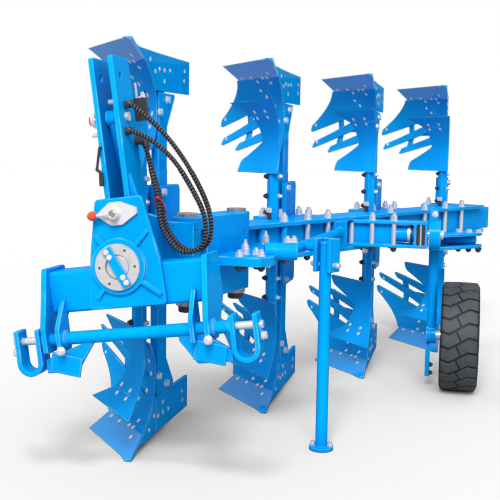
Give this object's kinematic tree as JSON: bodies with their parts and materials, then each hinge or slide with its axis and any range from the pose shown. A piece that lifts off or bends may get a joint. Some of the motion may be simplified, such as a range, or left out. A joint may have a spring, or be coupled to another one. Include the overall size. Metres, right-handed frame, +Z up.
{
  "type": "mounted reversible plough",
  "caption": "Blue mounted turnover plough: three-point headstock, diagonal beam with mirrored slatted bodies and skimmers, a depth wheel and a fold-up stand.",
  "frame": {"origin": "bottom centre of the parked plough, on the floor", "axes": "+Y to the rear, along the furrows; +X to the land side; +Z up"},
  "size_m": [1.9872, 3.8906, 1.75],
  "materials": {
    "black_paint": "satin",
    "blue_paint": "gloss",
    "hose": "matt",
    "knob": "gloss",
    "tyre": "matt",
    "white_paint": "satin",
    "zinc": "zinc plated"
  },
  "bodies": {
    "headstock": {"bearing_housing": "blue_paint", "bracket_gussets": "blue_paint", "cylinder_barrel": "blue_paint", "cylinder_pin": "zinc", "cylinder_rod": "zinc", "drawbar": "blue_paint", "headstock_beam": "blue_paint", "hitch_pins": "zinc", "hose_a": "hose", "hose_b": "hose", "hose_fittings": "zinc", "latch_knob": "knob", "latch_lever": "zinc", "latch_plate": "white_paint", "link_brackets": "blue_paint", "link_clevises": "blue_paint", "tower_brace": "blue_paint", "tower_handle": "black_paint", "tower_plates": "blue_paint"},
    "frame": {"adjuster_boss": "blue_paint", "adjuster_plate": "blue_paint", "arm_pin": "zinc", "beam_clamp_plates": "blue_paint", "beam_end_caps": "blue_paint", "carrier_tube": "blue_paint", "chisel_points": "blue_paint", "clamp_spacers": "zinc", "frogs": "blue_paint", "landsides": "blue_paint", "leg_brackets": "blue_paint", "legs": "blue_paint", "main_beam": "blue_paint", "mouldboard_slats": "blue_paint", "outrigger": "blue_paint", "pivot_pins": "zinc", "shaft_collar": "zinc", "shaft_keeper": "blue_paint", "shares": "blue_paint", "shins": "blue_paint", "skimmer_boards": "blue_paint", "skimmer_shares": "blue_paint", "skimmer_stalks": "blue_paint", "slat_stays": "blue_paint", "stand_bracket": "blue_paint", "stand_pivot_bolt": "zinc", "swing_link": "blue_paint", "turnover_frame": "blue_paint", "turnover_shaft": "zinc"},
    "wheel_arm": {"wheel_arm": "blue_paint", "wheel_axle": "zinc"},
    "wheel": {"tyre": "tyre", "wheel_rim": "blue_paint"},
    "stand": {"stand_leg": "blue_paint"}
  },
  "joints": [
    {"name": "turnover", "type": "hinge", "parent": "headstock", "child": "frame", "pos_m": [-0.41025, -1.78325, 0.875], "axis": [0, -1, 0], "range_deg": [0, 195]},
    {"name": "wheel_arm_swing", "type": "hinge", "parent": "frame", "child": "wheel_arm", "pos_m": [0.66575, -0.04325, 0.875], "axis": [1, 0, 0], "range_deg": [0, 146.51]},
    {"name": "wheel_spin", "type": "hinge", "parent": "wheel_arm", "child": "wheel", "pos_m": [0.81875, 0.12975, 0.3], "axis": [1, 0, 0], "continuous": true},
    {"name": "stand_fold", "type": "hinge", "parent": "frame", "child": "stand", "pos_m": [0.23575, -1.10025, 0.82], "axis": [0.9048, -0.4258, 0], "range_deg": [0, 90]}
  ]
}
